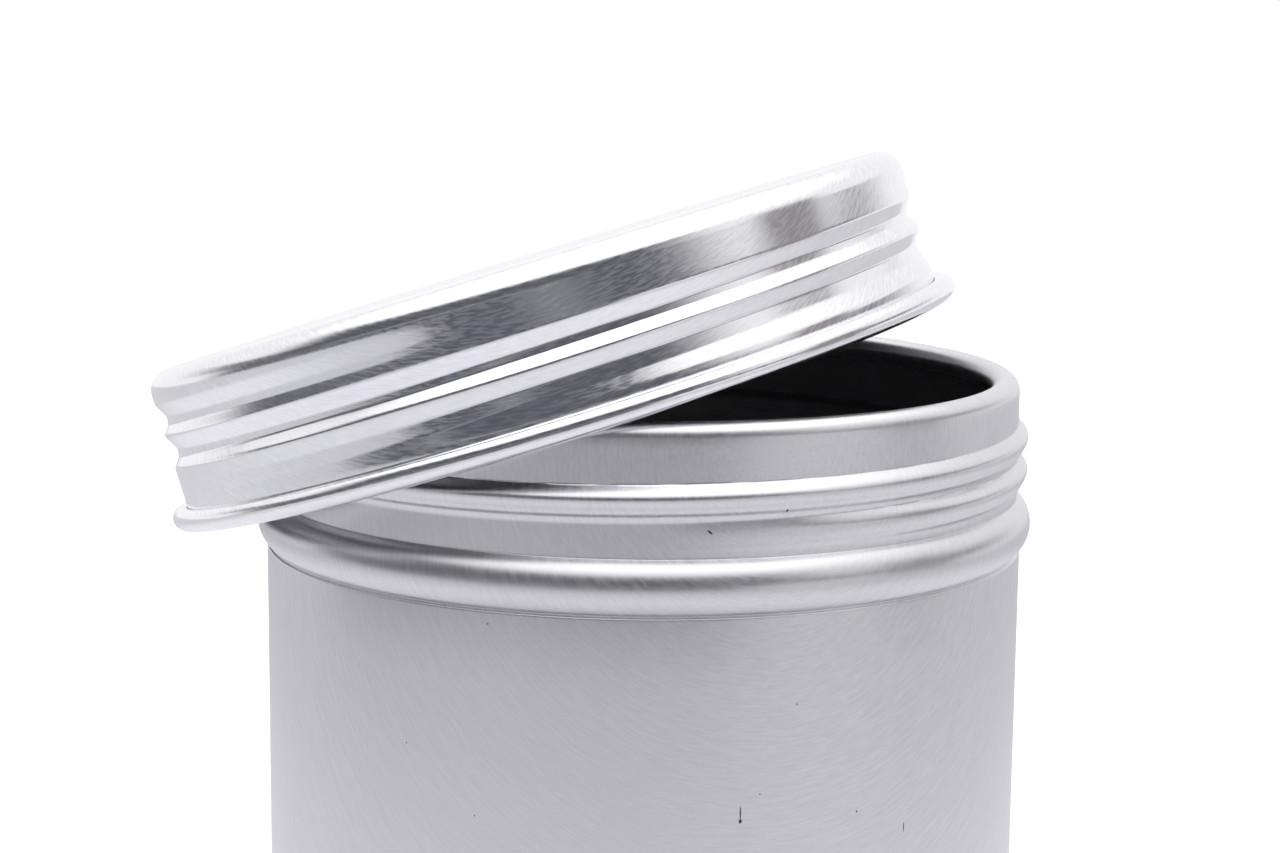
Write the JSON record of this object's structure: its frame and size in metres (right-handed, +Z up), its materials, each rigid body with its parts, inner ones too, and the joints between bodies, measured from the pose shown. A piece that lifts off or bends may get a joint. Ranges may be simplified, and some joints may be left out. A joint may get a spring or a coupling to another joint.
{
  "type": "screw-top aluminium can",
  "caption": "Open cylindrical aluminium can with a threaded neck and rolled rim, its screw lid lying askew on the mouth.",
  "frame": {"origin": "centre of the can's flat base, on the can's axis", "axes": "+Z up along the can's axis, +X towards the side where the lid is raised and the mouth shows, -Y towards the front"},
  "size_m": [0.0967, 0.0895, 0.1238],
  "materials": {
    "can_aluminium": "bright drawn aluminium with fine scratches, dark satin lacquer inside",
    "lid_aluminium": "bright drawn aluminium with fine scratches"
  },
  "bodies": {
    "root": {"can_body": "can_aluminium", "lid": "lid_aluminium"}
  },
  "joints": []
}
